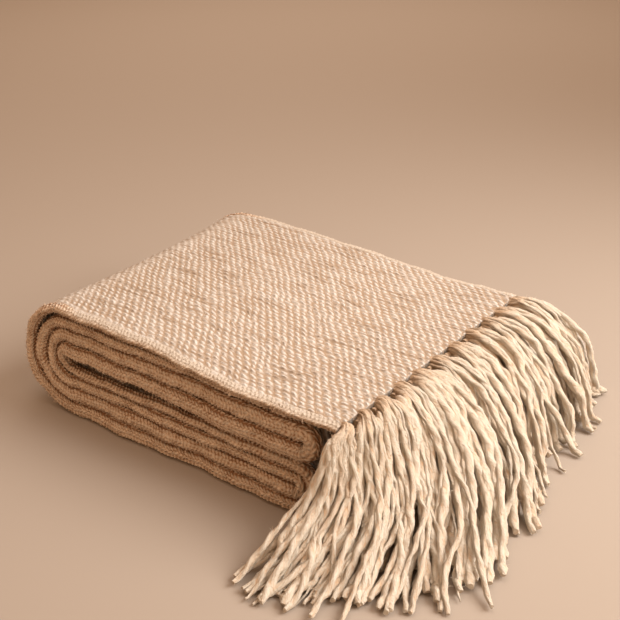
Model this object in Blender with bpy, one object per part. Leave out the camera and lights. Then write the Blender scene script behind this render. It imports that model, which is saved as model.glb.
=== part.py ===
"""A folded wool throw with a long self fringe, in metres, +Z up.

X runs along the folded stack, from the big rounded fold at -X to the fringed end at +X.
Y runs across it, from the near side at -Y to the far side. The origin is at the middle
of the flat underside of the stack. The cloth is one ribbon that goes back and forth in
eight layers, nested round one fold at the left. The top layer ends in gathered groups of
warp ends, the fringe, which arch over the end of the stack and fan out on the surface.
"""

import math
from collections import namedtuple

import bmesh
import bpy
from mathutils import Vector

# Driving sizes of the folded stack
STACK_WIDTH = 0.330
FRINGED_EDGE_X = 0.373
INNER_FOLD_X = 0.352
FOLD_CENTRE_X = 0.0515
SETTLED_LEFT_X = 0.080
SETTLED_RIGHT_X = 0.330
ORIGIN_X = 0.187
ORIGIN_Y = STACK_WIDTH / 2
FAR_SIDE_DROP = 0.050
FAR_SET_BACK_SHARE = 0.6
FAR_FOLD_REACH = 0.035

# The soft swell of the stack's height: how much, its waves a metre, and where they start
SWELL = 0.010
SWELL_WAVES_X = 9.0
SWELL_START_X = 1.2
SWELL_WAVES_Y = 13.0
SWELL_START_Y = 0.6

# One row for each layer, from the top down. Left and right are the two ends of the stack.
# A gap is the air under the layer, and a set_back is how far its near edge lies inside.
Layer = namedtuple(
    "Layer", "thick_left gap_left thick_right gap_right set_back_left set_back_right"
)
LAYERS = [
    Layer(0.0080, 0.0045, 0.0065, 0.0010, 0.0000, 0.0000),
    Layer(0.0110, 0.0014, 0.0056, 0.0010, 0.0030, 0.0080),
    Layer(0.0140, 0.0012, 0.0168, 0.0010, 0.0035, 0.0030),
    Layer(0.0140, 0.0130, 0.0172, 0.0030, 0.0010, 0.0000),
    Layer(0.0080, 0.0014, 0.0112, 0.0010, 0.0060, 0.0050),
    Layer(0.0100, 0.0012, 0.0104, 0.0010, 0.0035, 0.0040),
    Layer(0.0136, 0.0012, 0.0120, 0.0010, 0.0010, 0.0020),
    Layer(0.0145, 0.0000, 0.0125, 0.0000, 0.0000, 0.0000),
]

# The ribbon's way through the layers, from the fringed end to the tucked-in end.
# Each row is a layer, and the fold that leads on from it: its side and its number of steps.
Pass = namedtuple("Pass", "layer side steps")
RIBBON = [
    Pass(0, "left", 13),
    Pass(7, "right", 8),
    Pass(4, "left", 8),
    Pass(3, "right", 8),
    Pass(2, "left", 10),
    Pass(5, "right", 7),
    Pass(6, "left", 11),
    Pass(1, "end", 0),
]
ARM_STEPS = 6

# How far in from a long edge each ring of the ribbon lies, and its share of the thickness
EdgeRing = namedtuple("EdgeRing", "inset share")
EDGE_RINGS = [
    EdgeRing(0.0000, 0.40),
    EdgeRing(0.0014, 0.72),
    EdgeRing(0.0040, 0.94),
    EdgeRing(0.0080, 1.00),
]
MIDDLE_RINGS = [0.065, 0.125, 0.185, 0.245, 0.290]

# The fringe. One row for each gathered group: the edge of the cloth that it takes, from
# edge_from to edge_to, where its middle strand ends on the surface, how far it heads
# straight out before it turns there, as a share of its reach, and how much it droops.
Group = namedtuple("Group", "edge_from edge_to tip_x tip_y lead droop")
GROUPS = [
    Group(0.000, 0.021, 0.384, -0.101, 0.06, 1.00),
    Group(0.023, 0.048, 0.424, -0.084, 0.26, 0.90),
    Group(0.048, 0.079, 0.461, -0.054, 0.34, 0.74),
    Group(0.079, 0.106, 0.487, -0.022, 0.38, 0.55),
    Group(0.106, 0.139, 0.501, 0.020, 0.43, 0.38),
    Group(0.139, 0.170, 0.504, 0.066, 0.45, 0.24),
    Group(0.170, 0.206, 0.498, 0.118, 0.45, 0.12),
    Group(0.206, 0.238, 0.487, 0.170, 0.45, 0.05),
    Group(0.238, 0.269, 0.479, 0.226, 0.45, 0.00),
    Group(0.269, 0.299, 0.476, 0.280, 0.45, 0.00),
    Group(0.299, 0.330, 0.471, 0.334, 0.45, 0.00),
]
HEAD_GAP = 0.0003
HEAD_LENGTH = 0.0085
HEAD_HEIGHT = 0.0155
HEAD_RISE = 0.0015
HEAD_PARTING = 0.0040
HEAD_ROUNDING = 0.0028
STRAND_RADIUS = 0.0030
ROOT_INSET = 0.0012
EVEN_LEAD = 0.5
FOOT_LENGTH = 0.007
FOOT_RINGS = 2
PUSH_READ = 0.15
MERGE_DISTANCE = 0.00001

# One row for each shell of strands in a group: how it nests under the arch, and where its
# strands lie across the group, as shares of the group's width.
Shell = namedtuple("Shell", "reach rise drop_below push across")
SHELLS = [
    Shell(1.00, 1.000, 0.0000, 0.0120, (-0.32, 0.00, 0.32)),
    Shell(0.87, 0.960, 0.0048, 0.0062, (-0.16, 0.16)),
    Shell(0.74, 0.920, 0.0096, -0.0005, (-0.32, 0.00, 0.32)),
]

# Height along a strand, both as shares: the springy arch of the far groups, and the steep
# fall and flare of the groups at the near corner.
# Push is how much of the shell's own outward push it has there, where the flare is steep.
Course = namedtuple("Course", "arch_reach arch_height flare_reach flare_height push")
COURSES = [
    Course(0.00, 1.00, 0.00, 1.00, 0.0),
    Course(0.15, 1.04, 0.02, 0.97, 0.9),
    Course(0.37, 0.99, 0.05, 0.76, 1.0),
    Course(0.58, 0.83, 0.15, 0.53, 0.8),
    Course(0.76, 0.62, 0.32, 0.38, 0.5),
    Course(0.88, 0.37, 0.56, 0.25, 0.2),
    Course(0.95, 0.13, 0.83, 0.09, 0.0),
    Course(1.00, 0.00, 1.00, 0.00, 0.0),
]

CREAM_WOOL = (0.80, 0.67, 0.52, 1.0)
FRINGE_WOOL = (0.88, 0.76, 0.60, 1.0)


def clear_scene():
    """Removes every object that the file opened with."""
    for obj in list(bpy.data.objects):
        bpy.data.objects.remove(obj)


def wool_material(name, colour):
    """A dull, soft wool finish."""
    material = bpy.data.materials.new(name)
    material.use_nodes = True
    shader = material.node_tree.nodes["Principled BSDF"]
    shader.inputs["Base Color"].default_value = colour
    shader.inputs["Roughness"].default_value = 0.92
    shader.inputs["Metallic"].default_value = 0.0
    return material


def mix(a, b, share):
    return a + (b - a) * share


def smooth_share(value, low, high):
    """0 below low, 1 above high, and an even turn between them."""
    share = min(1.0, max(0.0, (value - low) / (high - low)))
    return share * share * (3.0 - 2.0 * share)


def height_factor(x, y):
    """The stack is a little lower at its far side, and swells softly across its face."""
    side = 1.0 - FAR_SIDE_DROP * y / STACK_WIDTH
    along = math.sin(SWELL_WAVES_X * x + SWELL_START_X)
    across = math.sin(SWELL_WAVES_Y * y + SWELL_START_Y)
    return side + SWELL * along * across


def far_reach(x, y):
    """How much further out the stack lies towards its big fold, at its far side."""
    return FAR_FOLD_REACH * (y / STACK_WIDTH) ** 2 * (1.0 - x / FRINGED_EDGE_X)


def in_frame(x, y, z):
    """A point of the stack in the object's own frame, with the stack's unevenness."""
    return Vector((x - far_reach(x, y) - ORIGIN_X, y - ORIGIN_Y, z * height_factor(x, y)))


def layer_middles(end):
    """The height of each layer's middle at one end of the stack, from the top down."""
    heights = []
    base = 0.0
    for layer in reversed(LAYERS):
        thick = getattr(layer, "thick_" + end)
        base += getattr(layer, "gap_" + end)
        heights.append(base + thick / 2)
        base += thick
    return heights[::-1]


MIDDLES_LEFT = layer_middles("left")
MIDDLES_RIGHT = layer_middles("right")


def layer_state(index, x):
    """Height of the middle, thickness and near set-back of a layer at a place along the stack."""
    layer = LAYERS[index]
    share = smooth_share(x, SETTLED_LEFT_X, SETTLED_RIGHT_X)
    return (
        mix(MIDDLES_LEFT[index], MIDDLES_RIGHT[index], share),
        mix(layer.thick_left, layer.thick_right, share),
        mix(layer.set_back_left, layer.set_back_right, share),
    )


def right_fold_centre(upper, lower):
    """Where a fold at the right starts, so that the outermost folds end in one line."""
    radius = (MIDDLES_RIGHT[upper] - MIDDLES_RIGHT[lower]) / 2
    if (upper, lower) == (5, 6):
        return right_fold_centre(4, 7)
    return INNER_FOLD_X - radius - LAYERS[lower].thick_right / 2


def arm_end(index, side):
    """Where a layer stops being flat and turns into a fold, or ends."""
    if side == "left":
        return FOLD_CENTRE_X
    if index == 0:
        return FRINGED_EDGE_X
    if index == 1:
        return INNER_FOLD_X
    pair = {2: (2, 3), 3: (2, 3), 4: (4, 7), 7: (4, 7), 5: (5, 6), 6: (5, 6)}[index]
    return right_fold_centre(*pair)


def arm_points(index, heading):
    """Points (x, z, thickness, set-back) along one flat layer, in the ribbon's direction."""
    left, right = arm_end(index, "left"), arm_end(index, "right")
    points = []
    for step in range(ARM_STEPS + 1):
        x = mix(left, right, step / ARM_STEPS)
        points.append((x, *layer_state(index, x)))
    return points if heading == "right" else points[::-1]


def fold_points(start, end, side, steps):
    """Points of the half round from one layer to the next, without its two ends."""
    x = arm_end(start, side)
    z0, thick0, back0 = layer_state(start, x)
    z1, thick1, back1 = layer_state(end, x)
    centre, radius = (z0 + z1) / 2, abs(z0 - z1) / 2
    outward = -1.0 if side == "left" else 1.0
    points = []
    for step in range(1, steps):
        share = step / steps
        angle = math.pi * share
        up = math.cos(angle) * (1.0 if z0 > z1 else -1.0)
        points.append(
            (
                x + outward * radius * math.sin(angle),
                centre + radius * up,
                mix(thick0, thick1, smooth_share(share, 0.0, 1.0)),
                mix(back0, back1, share),
            )
        )
    return points


def ribbon_points():
    """The whole ribbon's middle line, from the fringed end to the tucked-in end."""
    points = []
    heading = "left"
    for this, following in zip(RIBBON, RIBBON[1:] + [None]):
        points += arm_points(this.layer, heading)
        if following is None:
            break
        points += fold_points(this.layer, following.layer, this.side, this.steps)
        heading = "right" if this.side == "left" else "left"
    return points


def ring_outline(points, y, inset, share, near):
    """Both faces of the ribbon at one place across the stack, as two lists of points."""
    upper, lower = [], []
    last = len(points) - 1
    for i, (x, z, thick, set_back) in enumerate(points):
        before, after = points[max(i - 1, 0)], points[min(i + 1, last)]
        along = Vector((after[0] - before[0], after[1] - before[1])).normalized()
        half = thick * share / 2
        offset = Vector((-along.y, along.x)) * half
        edge = set_back + inset if near else -(set_back * FAR_SET_BACK_SHARE + inset)
        place = y + edge if y in (0.0, STACK_WIDTH) else y
        upper.append(in_frame(x + offset.x, place, z + offset.y))
        lower.append(in_frame(x - offset.x, place, z - offset.y))
    return upper, lower


def ribbon_rings():
    """All the rings of the ribbon, from its near edge to its far edge."""
    points = ribbon_points()
    rings = [ring_outline(points, 0.0, ring.inset, ring.share, True) for ring in EDGE_RINGS]
    rings += [ring_outline(points, y, 0.0, 1.0, True) for y in MIDDLE_RINGS]
    rings += [
        ring_outline(points, STACK_WIDTH, ring.inset, ring.share, False)
        for ring in reversed(EDGE_RINGS)
    ]
    return rings


def build_cloth(collection, material):
    """The folded cloth: one closed solid lofted through its rings."""
    mesh = bpy.data.meshes.new("throw_cloth")
    work = bmesh.new()
    loops = []
    pairs = []
    for upper, lower in ribbon_rings():
        top = [work.verts.new(p) for p in upper]
        bottom = [work.verts.new(p) for p in lower]
        pairs.append((top, bottom))
        loops.append(top + bottom[::-1])
    for near, far in zip(loops, loops[1:]):
        count = len(near)
        for i in range(count):
            j = (i + 1) % count
            work.faces.new((near[i], near[j], far[j], far[i]))
    for top, bottom in (pairs[0], pairs[-1]):
        for i in range(len(top) - 1):
            work.faces.new((top[i], bottom[i], bottom[i + 1], top[i + 1]))
    bmesh.ops.recalc_face_normals(work, faces=work.faces)
    work.to_mesh(mesh)
    work.free()
    mesh.shade_smooth()
    mesh.materials.append(material)
    cloth = bpy.data.objects.new("throw_cloth", mesh)
    collection.objects.link(cloth)
    return cloth


def along_table(rows, column, place):
    """A table's column read at any place along the fringed edge, rounded between rows."""
    centres = [(row.edge_from + row.edge_to) / 2 for row in rows]
    values = [getattr(row, column) for row in rows]
    i = 0
    while i < len(rows) - 2 and place > centres[i + 1]:
        i += 1
    share = (place - centres[i]) / (centres[i + 1] - centres[i])
    before = values[max(i - 1, 0)]
    after = values[min(i + 2, len(values) - 1)]
    if not 0.0 <= share <= 1.0:
        return mix(values[i], values[i + 1], share)
    rise_in = (values[i + 1] - before) / 2 if i > 0 else values[1] - values[0]
    rise_out = (after - values[i]) / 2 if i < len(values) - 2 else values[-1] - values[-2]
    s2, s3 = share * share, share * share * share
    return (
        values[i] * (2 * s3 - 3 * s2 + 1)
        + rise_in * (s3 - 2 * s2 + share)
        + values[i + 1] * (3 * s2 - 2 * s3)
        + rise_out * (s3 - s2)
    )


def plan_point(root, turn, tip, reach):
    """A point of the smooth turn from the root to the tip, seen from above."""
    stay = 1.0 - reach
    return root * stay * stay + turn * 2 * reach * stay + tip * reach * reach


def strand_route(place, shell):
    """The middle line of one strand that leaves the fringed edge at this place."""
    root_z = MIDDLES_RIGHT[0] * height_factor(FRINGED_EDGE_X, place)
    root = Vector((FRINGED_EDGE_X + HEAD_GAP + STRAND_RADIUS + ROOT_INSET, place))
    tip = Vector((along_table(GROUPS, "tip_x", place), along_table(GROUPS, "tip_y", place)))
    lead = along_table(GROUPS, "lead", place)
    turn = root + Vector((lead * (tip - root).length, 0.0)) + (tip - root) * (EVEN_LEAD - lead)
    facing = plan_point(root, turn, tip, PUSH_READ) - root
    facing.normalize()
    droop = min(1.0, max(0.0, along_table(GROUPS, "droop", place)))
    rest = STRAND_RADIUS
    top = root_z - shell.drop_below
    route = []
    for course in COURSES:
        reach = shell.reach * mix(course.arch_reach, course.flare_reach, droop)
        height = mix(course.arch_height, course.flare_height, droop)
        flat = plan_point(root, turn, tip, reach)
        flat += facing * shell.push * course.push * droop
        lift = rest + (top - rest) * height * mix(shell.rise, 1.0, height)
        route.append(Vector((flat.x - ORIGIN_X, flat.y - ORIGIN_Y, max(rest, lift))))
    outward = (route[-1] - route[-2]).xy.normalized()
    foot = route[-1] + Vector((outward.x, outward.y, 0.0)) * FOOT_LENGTH
    route.append(Vector((foot.x, foot.y, rest)))
    return route


def settle_foot(work, route):
    """Lays the last rings of a strand level on the surface, along their lowest corner."""
    for centre in route[-FOOT_RINGS:]:
        ring = [v for v in work.verts if (v.co - centre).length < STRAND_RADIUS + HEAD_GAP]
        lowest = min(vert.co.z for vert in ring)
        for vert in ring:
            vert.co.z -= lowest


def strand_mesh(route, name):
    """A square-sided strand along its route, as a closed mesh object."""
    curve = bpy.data.curves.new(name, "CURVE")
    curve.dimensions = "3D"
    curve.bevel_depth = STRAND_RADIUS
    curve.bevel_resolution = 0
    curve.use_fill_caps = True
    spline = curve.splines.new("POLY")
    spline.points.add(len(route) - 1)
    for point, place in zip(spline.points, route):
        point.co = (*place, 1.0)
    guide = bpy.data.objects.new(name, curve)
    bpy.context.scene.collection.objects.link(guide)
    graph = bpy.context.evaluated_depsgraph_get()
    mesh = bpy.data.meshes.new_from_object(guide.evaluated_get(graph))
    bpy.data.objects.remove(guide)
    work = bmesh.new()
    work.from_mesh(mesh)
    bmesh.ops.remove_doubles(work, verts=work.verts, dist=MERGE_DISTANCE)
    bmesh.ops.recalc_face_normals(work, faces=work.faces)
    settle_foot(work, route)
    work.to_mesh(mesh)
    work.free()
    return bpy.data.objects.new(name, mesh)


def group_head(group, name, material):
    """The gathered root of a group: a rounded bar, parted from the cloth's edge."""
    width = group.edge_to - group.edge_from - HEAD_PARTING
    middle = (group.edge_from + group.edge_to) / 2
    top = (MIDDLES_RIGHT[0] + LAYERS[0].thick_right / 2) * height_factor(FRINGED_EDGE_X, middle)
    work = bmesh.new()
    bmesh.ops.create_cube(work, size=1.0)
    bmesh.ops.scale(work, vec=(HEAD_LENGTH, width, HEAD_HEIGHT), verts=work.verts)
    bmesh.ops.bevel(
        work, geom=work.edges[:], offset=HEAD_ROUNDING, segments=1, affect="EDGES"
    )
    mesh = bpy.data.meshes.new(name)
    work.to_mesh(mesh)
    work.free()
    mesh.materials.append(material)
    head = bpy.data.objects.new(name, mesh)
    head.location = (
        FRINGED_EDGE_X + HEAD_GAP + HEAD_LENGTH / 2 - ORIGIN_X,
        middle - ORIGIN_Y,
        top + HEAD_RISE - HEAD_HEIGHT / 2,
    )
    return head


def build_group(number, group, collection, cutters, material):
    """One gathered group of the fringe: its head, with its strands joined to it."""
    name = f"fringe_group_{number:02d}"
    head = group_head(group, name, material)
    collection.objects.link(head)
    strands = bpy.data.collections.new(name + "_strands")
    cutters.children.link(strands)
    width = group.edge_to - group.edge_from
    middle = (group.edge_from + group.edge_to) / 2
    for depth, shell in enumerate(SHELLS):
        for across in shell.across:
            route = strand_route(middle + across * width, shell)
            strand = strand_mesh(route, f"{name}_shell_{depth}")
            strand.hide_render = True
            strand.display_type = "WIRE"
            strands.objects.link(strand)
    join = head.modifiers.new("join_strands", "BOOLEAN")
    join.operation = "UNION"
    join.solver = "EXACT"
    join.operand_type = "COLLECTION"
    join.collection = strands
    return head


def main():
    clear_scene()
    throw = bpy.data.collections.new("wool_throw")
    bpy.context.scene.collection.children.link(throw)
    helpers = bpy.data.collections.new("helpers")
    helpers.hide_render = True
    bpy.context.scene.collection.children.link(helpers)
    build_cloth(throw, wool_material("oatmeal_wool", CREAM_WOOL))
    fringe_wool = wool_material("cream_wool", FRINGE_WOOL)
    for number, group in enumerate(GROUPS, start=1):
        build_group(number, group, throw, helpers, fringe_wool)


main()
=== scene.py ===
"""The looks of a folded wool throw with a long gathered fringe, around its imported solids.

Metres, in the part's own frame: X along the stack to its fringed end, Y across it, Z up.
The cloth's own places are given along its folded path and across its width, so its weave
follows every fold. The fringe is spun along the routes that its solids follow.
"""

import math
from collections import namedtuple

import bpy
import numpy as np
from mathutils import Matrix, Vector


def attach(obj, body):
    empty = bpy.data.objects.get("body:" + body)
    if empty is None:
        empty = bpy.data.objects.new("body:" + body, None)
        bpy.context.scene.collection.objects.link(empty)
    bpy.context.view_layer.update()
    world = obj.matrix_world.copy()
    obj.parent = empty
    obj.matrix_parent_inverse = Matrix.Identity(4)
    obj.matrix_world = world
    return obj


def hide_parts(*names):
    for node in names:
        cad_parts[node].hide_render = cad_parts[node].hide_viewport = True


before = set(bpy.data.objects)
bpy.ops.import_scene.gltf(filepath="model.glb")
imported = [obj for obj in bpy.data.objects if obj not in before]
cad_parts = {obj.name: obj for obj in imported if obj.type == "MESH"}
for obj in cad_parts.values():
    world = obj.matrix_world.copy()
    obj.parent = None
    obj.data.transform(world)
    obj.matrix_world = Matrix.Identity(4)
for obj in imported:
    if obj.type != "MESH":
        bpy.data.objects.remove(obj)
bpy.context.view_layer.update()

# Sizes of the folded stack, as in the part's source
STACK_WIDTH = 0.330
FRINGED_EDGE_X = 0.373
INNER_FOLD_X = 0.352
FOLD_CENTRE_X = 0.0515
SETTLED_LEFT_X = 0.080
SETTLED_RIGHT_X = 0.330
ORIGIN_X = 0.187
ORIGIN_Y = STACK_WIDTH / 2
FAR_SIDE_DROP = 0.050
FAR_SET_BACK_SHARE = 0.6
FAR_FOLD_REACH = 0.035
SWELL = 0.010
SWELL_WAVES_X = 9.0
SWELL_START_X = 1.2
SWELL_WAVES_Y = 13.0
SWELL_START_Y = 0.6

Layer = namedtuple(
    "Layer", "thick_left gap_left thick_right gap_right set_back_left set_back_right"
)
LAYERS = [
    Layer(0.0080, 0.0045, 0.0065, 0.0010, 0.0000, 0.0000),
    Layer(0.0110, 0.0014, 0.0056, 0.0010, 0.0030, 0.0080),
    Layer(0.0140, 0.0012, 0.0168, 0.0010, 0.0035, 0.0030),
    Layer(0.0140, 0.0130, 0.0172, 0.0030, 0.0010, 0.0000),
    Layer(0.0080, 0.0014, 0.0112, 0.0010, 0.0060, 0.0050),
    Layer(0.0100, 0.0012, 0.0104, 0.0010, 0.0035, 0.0040),
    Layer(0.0136, 0.0012, 0.0120, 0.0010, 0.0010, 0.0020),
    Layer(0.0145, 0.0000, 0.0125, 0.0000, 0.0000, 0.0000),
]
Pass = namedtuple("Pass", "layer side")
RIBBON = [
    Pass(0, "left"),
    Pass(7, "right"),
    Pass(4, "left"),
    Pass(3, "right"),
    Pass(2, "left"),
    Pass(5, "right"),
    Pass(6, "left"),
    Pass(1, "end"),
]
RIGHT_FOLDS = {2: (2, 3), 3: (2, 3), 4: (4, 7), 7: (4, 7), 5: (5, 6), 6: (5, 6)}

# The fringe's gathered groups, as in the part's source
Group = namedtuple("Group", "edge_from edge_to tip_x tip_y lead droop")
GROUPS = [
    Group(0.000, 0.021, 0.384, -0.101, 0.06, 1.00),
    Group(0.023, 0.048, 0.424, -0.084, 0.26, 0.90),
    Group(0.048, 0.079, 0.461, -0.054, 0.34, 0.74),
    Group(0.079, 0.106, 0.487, -0.022, 0.38, 0.55),
    Group(0.106, 0.139, 0.501, 0.020, 0.43, 0.38),
    Group(0.139, 0.170, 0.504, 0.066, 0.45, 0.24),
    Group(0.170, 0.206, 0.498, 0.118, 0.45, 0.12),
    Group(0.206, 0.238, 0.487, 0.170, 0.45, 0.05),
    Group(0.238, 0.269, 0.479, 0.226, 0.45, 0.00),
    Group(0.269, 0.299, 0.476, 0.280, 0.45, 0.00),
    Group(0.299, 0.330, 0.471, 0.334, 0.45, 0.00),
]
ROOT_X = 0.3775
FOOT_LENGTH = 0.007
PUSH_READ = 0.15

# The levels of yarns in each group, with more yarns than the part has strands
Shell = namedtuple("Shell", "reach rise drop_below push across")
SHELLS = [
    Shell(1.00, 1.000, 0.0000, 0.0120, (-0.34, -0.12, 0.12, 0.34)),
    Shell(0.95, 0.985, 0.0024, 0.0090, (-0.22, 0.00, 0.22)),
    Shell(0.87, 0.960, 0.0048, 0.0062, (-0.33, -0.11, 0.11, 0.33)),
    Shell(0.74, 0.920, 0.0096, -0.0005, (-0.30, 0.00, 0.30)),
]
Course = namedtuple("Course", "arch_reach arch_height flare_reach flare_height push")
COURSES = [
    Course(0.00, 1.00, 0.00, 1.00, 0.0),
    Course(0.15, 1.04, 0.02, 0.97, 0.9),
    Course(0.37, 0.99, 0.05, 0.76, 1.0),
    Course(0.58, 0.83, 0.15, 0.53, 0.8),
    Course(0.76, 0.62, 0.32, 0.38, 0.5),
    Course(0.88, 0.37, 0.56, 0.25, 0.2),
    Course(0.95, 0.13, 0.83, 0.09, 0.0),
    Course(1.00, 0.00, 1.00, 0.00, 0.0),
]
STRAND_RADIUS = 0.0040

# The camera, from the photograph's view of the stack
EYE = Vector((0.5806, -0.7430, 0.5361))
LOOK = Vector((-0.5313, 0.7315, -0.4274))
LENS_MM = 59.9
SENSOR_MM = 36.0

random_shape = np.random.default_rng(7)


# Small helpers for numbers


def mix(a, b, share):
    return a + (b - a) * share


def in_rows(values, count):
    """The same row of values, this many times."""
    return np.repeat(values[None, :], count, axis=0)


def from_rim(count, step):
    """How far each column of a grid lies from the nearer side of it."""
    columns = np.arange(count)
    return np.minimum(columns, columns[::-1]) * step


def smooth_share(value, low, high):
    """0 on low's side, 1 on high's side, and an even turn between them."""
    share = np.clip((value - low) / (high - low), 0.0, 1.0)
    return share * share * (3.0 - 2.0 * share)


def height_factor(x, y):
    """The stack is a little lower at its far side, and swells softly across its face."""
    side = 1.0 - FAR_SIDE_DROP * y / STACK_WIDTH
    along = np.sin(SWELL_WAVES_X * x + SWELL_START_X)
    across = np.sin(SWELL_WAVES_Y * y + SWELL_START_Y)
    return side + SWELL * along * across


def far_reach(x, y):
    """How much further out the stack lies towards its big fold, at its far side."""
    return FAR_FOLD_REACH * (y / STACK_WIDTH) ** 2 * (1.0 - x / FRINGED_EDGE_X)


# The folded path of the cloth


def layer_middles(end):
    """The height of each layer's middle at one end of the stack, from the top down."""
    heights = []
    base = 0.0
    for layer in reversed(LAYERS):
        thick = getattr(layer, "thick_" + end)
        base += getattr(layer, "gap_" + end)
        heights.append(base + thick / 2)
        base += thick
    return heights[::-1]


MIDDLES_LEFT = layer_middles("left")
MIDDLES_RIGHT = layer_middles("right")


def layer_state(index, x):
    """Middle height, thickness and near set-back of a layer at places along the stack."""
    layer = LAYERS[index]
    share = smooth_share(x, SETTLED_LEFT_X, SETTLED_RIGHT_X)
    return np.stack(
        [
            mix(MIDDLES_LEFT[index], MIDDLES_RIGHT[index], share),
            mix(layer.thick_left, layer.thick_right, share),
            mix(layer.set_back_left, layer.set_back_right, share),
        ]
    )


def right_fold_start(upper, lower):
    """Where a fold at the right starts, so that the outermost folds end in one line."""
    if (upper, lower) == (5, 6):
        return right_fold_start(4, 7)
    radius = (MIDDLES_RIGHT[upper] - MIDDLES_RIGHT[lower]) / 2
    return INNER_FOLD_X - radius - LAYERS[lower].thick_right / 2


def arm_end(index, side):
    """Where a layer stops being flat and turns into a fold, or ends."""
    if side == "left":
        return FOLD_CENTRE_X
    if index in RIGHT_FOLDS:
        return right_fold_start(*RIGHT_FOLDS[index])
    return FRINGED_EDGE_X if index == 0 else INNER_FOLD_X


ARM_STEPS = 80
FOLD_STEPS = 40


def folded_path():
    """The cloth's middle line as rows (x, z, thickness, set-back), from its fringed end."""
    rows = []
    heading = "left"
    for here, following in zip(RIBBON, RIBBON[1:] + [None]):
        ends = (arm_end(here.layer, "left"), arm_end(here.layer, "right"))
        start, stop = ends if heading == "right" else ends[::-1]
        x = np.linspace(start, stop, ARM_STEPS)
        rows.append(np.vstack([x, layer_state(here.layer, x)]).T)
        if following is None:
            break
        fold_x = arm_end(here.layer, here.side)
        first = layer_state(here.layer, fold_x)
        last = layer_state(following.layer, fold_x)
        share = np.linspace(0.0, 1.0, FOLD_STEPS + 1)[1:-1]
        outward = -1.0 if here.side == "left" else 1.0
        radius = abs(first[0] - last[0]) / 2
        rows.append(
            np.vstack(
                [
                    fold_x + outward * radius * np.sin(np.pi * share),
                    (first[0] + last[0]) / 2 + (first[0] - last[0]) / 2 * np.cos(np.pi * share),
                    mix(first[1], last[1], smooth_share(share, 0.0, 1.0)),
                    mix(first[2], last[2], share),
                ]
            ).T
        )
        heading = "right" if here.side == "left" else "left"
    return np.vstack(rows)


PATH = folded_path()
PATH_AT = np.concatenate([[0.0], np.cumsum(np.hypot(*np.diff(PATH[:, :2], axis=0).T))])
KEPT = np.concatenate([[True], np.diff(PATH_AT) > 1e-6])
PATH = PATH[KEPT]
PATH_AT = PATH_AT[KEPT]
CLOTH_LENGTH = float(PATH_AT[-1])
TOP_LENGTH = FRINGED_EDGE_X - FOLD_CENTRE_X
OUTER_FOLD_LENGTH = math.pi * (MIDDLES_LEFT[0] - MIDDLES_LEFT[7]) / 2
NORMAL_REACH = 0.0012
THICK_COLUMN = 2
BACK_COLUMN = 3


def on_path(along, column):
    """One column of the path's rows, at places along the cloth."""
    return np.interp(along, PATH_AT, PATH[:, column])


def path_at(along):
    """Middle point, outward direction, thickness and set-back at places along the cloth."""
    x, z, thick, back = (on_path(along, column) for column in range(4))
    ahead = np.clip(along + NORMAL_REACH, 0.0, CLOTH_LENGTH)
    behind = np.clip(along - NORMAL_REACH, 0.0, CLOTH_LENGTH)
    run_x, run_z = (on_path(ahead, column) - on_path(behind, column) for column in range(2))
    length = np.hypot(run_x, run_z)
    return x, z, run_z / length, -run_x / length, thick, back


# The waves of a long edge: their size, how close they are, how far the far edge's are shifted
# from the near one's, and where they start
EdgeWave = namedtuple("EdgeWave", "size waves shift start")
EDGE_WAVES = [
    EdgeWave(0.0012, 41.0, 1.7, 0.0),
    EdgeWave(0.0009, 97.0, 3.4, 0.8),
    EdgeWave(0.0004, 211.0, 0.0, 0.3),
]


def edge_wander(along, near):
    """How far a long edge of the cloth lies in or out of line, in soft uneven waves."""
    return sum(
        wave.size * np.sin(wave.waves * along + (0.0 if near else wave.shift) + wave.start)
        for wave in EDGE_WAVES
    )


def stack_points(along, across, outward):
    """Points of the cloth: along its path, across its width, and out from its middle."""
    x, z, out_x, out_z, thick, back = path_at(along)
    px = x + out_x * outward
    pz = z + out_z * outward
    pz = pz * height_factor(px, across)
    px = px - far_reach(px, across)
    return np.stack([px - ORIGIN_X, across - ORIGIN_Y, np.maximum(pz, 0.0)], axis=-1)


# Meshes


def placed(name, data):
    """A new object in the scene."""
    thing = bpy.data.objects.new(name, data)
    bpy.context.scene.collection.objects.link(thing)
    return thing


def write_attributes(mesh, attributes):
    """Keeps values with a mesh's points, for its trees and materials."""
    for label, values in attributes.items():
        values = np.asarray(values, dtype=float)
        kind, slot = ("FLOAT_VECTOR", "vector") if values.ndim == 2 else ("FLOAT", "value")
        mesh.attributes.new(label, kind, "POINT").data.foreach_set(slot, values.ravel())


def mesh_piece(name, points, faces, attributes):
    """A mesh object from points and faces, with its attributes."""
    mesh = bpy.data.meshes.new(name)
    mesh.from_pydata(np.asarray(points).reshape(-1, 3).tolist(), [], faces)
    write_attributes(mesh, attributes)
    mesh.validate()
    mesh.shade_smooth()
    return placed(name, mesh)


def grid_faces(rows, columns, first=0, flip=False):
    """Quads between the points of a grid that is stored row by row."""
    i, j = np.meshgrid(np.arange(rows - 1), np.arange(columns - 1), indexing="ij")
    a = (first + i * columns + j).ravel()
    quads = np.stack([a, a + columns, a + columns + 1, a + 1], axis=-1)
    return (quads[:, ::-1] if flip else quads).tolist()


# Nodes

# Something that wanders: its scale, and how much of it counts
Wander = namedtuple("Wander", "scale share")


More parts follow.
